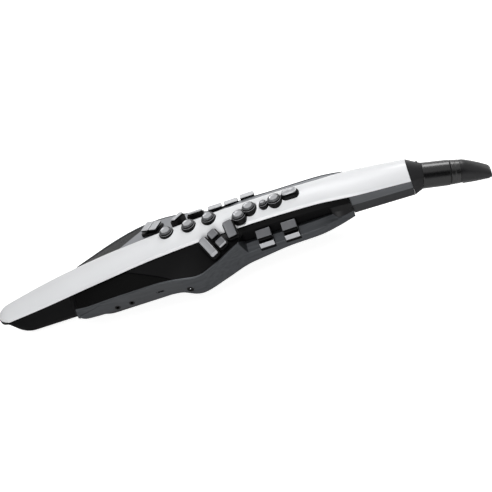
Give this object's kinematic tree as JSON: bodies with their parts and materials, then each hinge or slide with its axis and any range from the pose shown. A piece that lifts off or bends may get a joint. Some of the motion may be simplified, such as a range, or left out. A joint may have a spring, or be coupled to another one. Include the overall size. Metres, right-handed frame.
{
  "type": "digital wind controller",
  "caption": "Electronic wind instrument with saxophone-style keys, a crowned cover over a winged case, loudspeaker grilles and a mouthpiece with a bite reed.",
  "frame": {"origin": "on the flat keel of the back, on the centre line, half the overall length from the tip of the bell", "axes": "+X towards the mouthpiece, +Y towards the player's right-hand side, +Z out of the key side"},
  "size_m": [0.6058, 0.119, 0.0775],
  "materials": {
    "white_cover": "satin white",
    "black_case": "fine satin black",
    "gray_case": "dark gray satin",
    "key_face": "satin silver gray",
    "mouthpiece_black": "soft gloss black",
    "reed_black": "matt",
    "steel_ring": "plated",
    "inner_black": "matt",
    "board_green": "coated board",
    "cell_sleeve": "printed sleeve without words"
  },
  "bodies": {
    "case": {"front_cover": "white_cover", "back_case": "black_case", "left_deck": "black_case", "left_grille": "black_case", "right_grille": "black_case", "left_band": "black_case", "key_frame": "black_case", "left_table_base": "black_case", "right_pinky_base": "black_case", "right_trill_base": "black_case", "side_key_block": "black_case", "collar": "black_case", "mouthpiece_band": "black_case", "thumb_rest": "black_case", "right_deck": "gray_case", "right_band": "gray_case", "neck_case": "gray_case", "barrel": "mouthpiece_black", "strap_ring": "steel_ring", "left_speaker": "inner_black", "right_speaker": "inner_black", "side_jacks": "inner_black", "breath_sensor": "inner_black", "circuit_board": "board_green", "cell_1": "cell_sleeve", "cell_2": "cell_sleeve", "cell_3": "cell_sleeve", "cell_4": "cell_sleeve", "cell_5": "cell_sleeve", "cell_6": "cell_sleeve"},
    "d_key": {"d_key": "key_face"},
    "e_key": {"e_key": "key_face"},
    "f_key": {"f_key": "key_face"},
    "g_key": {"g_key": "key_face"},
    "a_key": {"a_key": "key_face"},
    "bis_key": {"bis_key": "key_face"},
    "b_key": {"b_key": "key_face"},
    "front_key": {"front_key": "key_face"},
    "g_sharp_key": {"g_sharp_key": "key_face"},
    "c_sharp_key": {"c_sharp_key": "key_face"},
    "low_b_key": {"low_b_key": "key_face"},
    "low_b_flat_key": {"low_b_flat_key": "key_face"},
    "low_c_key": {"low_c_key": "key_face"},
    "e_flat_key": {"e_flat_key": "key_face"},
    "trill_key": {"trill_key": "key_face"},
    "cross_key": {"cross_key": "key_face"},
    "side_c_key": {"side_c_key": "key_face"},
    "side_b_flat_key": {"side_b_flat_key": "key_face"},
    "high_e_key": {"high_e_key": "key_face"},
    "octave_down_key": {"octave_down_key": "key_face"},
    "octave_up_key": {"octave_up_key": "key_face"},
    "power_button": {"power_button": "key_face"},
    "palm_d_key": {"palm_d_key": "key_face"},
    "palm_f_key": {"palm_f_key": "key_face"},
    "thumb_lever": {"thumb_lever": "key_face"},
    "thumb_hook": {"thumb_hook": "black_case"},
    "battery_cover": {"battery_cover": "black_case"},
    "volume_dial": {"volume_dial": "black_case"},
    "mouthpiece": {"mouthpiece": "mouthpiece_black"},
    "reed": {"reed": "reed_black"}
  },
  "joints": [
    {"name": "d_key_press", "type": "slide", "parent": "case", "child": "d_key", "axis": [0, 0, -1], "range_m": [0, 0.002], "stiffness_N_per_m": 200, "springref_m": -0.001},
    {"name": "e_key_press", "type": "slide", "parent": "case", "child": "e_key", "axis": [0, 0, -1], "range_m": [0, 0.002], "stiffness_N_per_m": 200, "springref_m": -0.001},
    {"name": "f_key_press", "type": "slide", "parent": "case", "child": "f_key", "axis": [0, 0, -1], "range_m": [0, 0.002], "stiffness_N_per_m": 200, "springref_m": -0.001},
    {"name": "g_key_press", "type": "slide", "parent": "case", "child": "g_key", "axis": [0, 0, -1], "range_m": [0, 0.002], "stiffness_N_per_m": 200, "springref_m": -0.001},
    {"name": "a_key_press", "type": "slide", "parent": "case", "child": "a_key", "axis": [0, 0, -1], "range_m": [0, 0.002], "stiffness_N_per_m": 200, "springref_m": -0.001},
    {"name": "bis_key_press", "type": "slide", "parent": "case", "child": "bis_key", "axis": [0, 0, -1], "range_m": [0, 0.002], "stiffness_N_per_m": 200, "springref_m": -0.001},
    {"name": "b_key_press", "type": "slide", "parent": "case", "child": "b_key", "axis": [0, 0, -1], "range_m": [0, 0.002], "stiffness_N_per_m": 200, "springref_m": -0.001},
    {"name": "front_key_press", "type": "slide", "parent": "case", "child": "front_key", "axis": [0, 0, -1], "range_m": [0, 0.002], "stiffness_N_per_m": 200, "springref_m": -0.001},
    {"name": "g_sharp_key_press", "type": "slide", "parent": "case", "child": "g_sharp_key", "axis": [0, 0.454, -0.891], "range_m": [0, 0.0016], "stiffness_N_per_m": 200, "springref_m": -0.001},
    {"name": "c_sharp_key_press", "type": "slide", "parent": "case", "child": "c_sharp_key", "axis": [0, 0.454, -0.891], "range_m": [0, 0.0016], "stiffness_N_per_m": 200, "springref_m": -0.001},
    {"name": "low_b_key_press", "type": "slide", "parent": "case", "child": "low_b_key", "axis": [0, 0.454, -0.891], "range_m": [0, 0.0016], "stiffness_N_per_m": 200, "springref_m": -0.001},
    {"name": "low_b_flat_key_press", "type": "slide", "parent": "case", "child": "low_b_flat_key", "axis": [0, 0.454, -0.891], "range_m": [0, 0.0016], "stiffness_N_per_m": 200, "springref_m": -0.001},
    {"name": "low_c_key_press", "type": "slide", "parent": "case", "child": "low_c_key", "axis": [0, -0.1908, -0.9816], "range_m": [0, 0.0016], "stiffness_N_per_m": 200, "springref_m": -0.001},
    {"name": "e_flat_key_press", "type": "slide", "parent": "case", "child": "e_flat_key", "axis": [0, -0.1908, -0.9816], "range_m": [0, 0.0016], "stiffness_N_per_m": 200, "springref_m": -0.001},
    {"name": "trill_key_press", "type": "slide", "parent": "case", "child": "trill_key", "axis": [0, -0.3256, -0.9455], "range_m": [0, 0.0016], "stiffness_N_per_m": 200, "springref_m": -0.001},
    {"name": "cross_key_press", "type": "slide", "parent": "case", "child": "cross_key", "axis": [0, -0.454, -0.891], "range_m": [0, 0.0016], "stiffness_N_per_m": 200, "springref_m": -0.001},
    {"name": "side_c_key_press", "type": "slide", "parent": "case", "child": "side_c_key", "axis": [0, 0, -1], "range_m": [0, 0.0015], "stiffness_N_per_m": 200, "springref_m": -0.001},
    {"name": "side_b_flat_key_press", "type": "slide", "parent": "case", "child": "side_b_flat_key", "axis": [0, 0, -1], "range_m": [0, 0.0015], "stiffness_N_per_m": 200, "springref_m": -0.001},
    {"name": "high_e_key_press", "type": "slide", "parent": "case", "child": "high_e_key", "axis": [0, 0, -1], "range_m": [0, 0.0015], "stiffness_N_per_m": 200, "springref_m": -0.001},
    {"name": "octave_down_key_press", "type": "slide", "parent": "case", "child": "octave_down_key", "axis": [0, 0, 1], "range_m": [0, 0.0014], "stiffness_N_per_m": 200, "springref_m": -0.001},
    {"name": "octave_up_key_press", "type": "slide", "parent": "case", "child": "octave_up_key", "axis": [0, 0, 1], "range_m": [0, 0.0014], "stiffness_N_per_m": 200, "springref_m": -0.001},
    {"name": "power_button_press", "type": "slide", "parent": "case", "child": "power_button", "axis": [0, 0, 1], "range_m": [0, 0.001], "stiffness_N_per_m": 300, "springref_m": -0.001},
    {"name": "palm_d_key_swing", "type": "hinge", "parent": "case", "child": "palm_d_key", "pos_m": [0.04, -0.0245, 0.052], "axis": [1, 0, 0], "range_deg": [0, 6], "stiffness_Nm_per_rad": 0.08, "springref_deg": -3.44},
    {"name": "palm_f_key_swing", "type": "hinge", "parent": "case", "child": "palm_f_key", "pos_m": [0.0702, -0.0245, 0.052], "axis": [1, 0, 0], "range_deg": [0, 6], "stiffness_Nm_per_rad": 0.08, "springref_deg": -3.44},
    {"name": "thumb_lever_tilt", "type": "hinge", "parent": "case", "child": "thumb_lever", "pos_m": [0.0915, 0, 0.02167], "axis": [0, 1, 0], "range_deg": [-20, 20], "stiffness_Nm_per_rad": 0.05},
    {"name": "thumb_hook_adjust", "type": "slide", "parent": "case", "child": "thumb_hook", "axis": [1, 0, 0], "range_m": [-0.004, 0.004]},
    {"name": "battery_cover_slide", "type": "slide", "parent": "case", "child": "battery_cover", "axis": [1, 0, 0], "range_m": [0, 0.008]},
    {"name": "volume_dial_turn", "type": "hinge", "parent": "case", "child": "volume_dial", "pos_m": [0.1105, 0, 0.018], "axis": [0, 0, 1], "range_deg": [-135, 135]},
    {"name": "mouthpiece_pull", "type": "slide", "parent": "case", "child": "mouthpiece", "axis": [0.9681, 0, -0.2504], "range_m": [0, 0.02]},
    {"name": "reed_bite", "type": "hinge", "parent": "mouthpiece", "child": "reed", "pos_m": [0.26907, 0, 0.01236], "axis": [0, -1, 0], "range_deg": [0, 0.8], "stiffness_Nm_per_rad": 2, "springref_deg": -0.29}
  ]
}
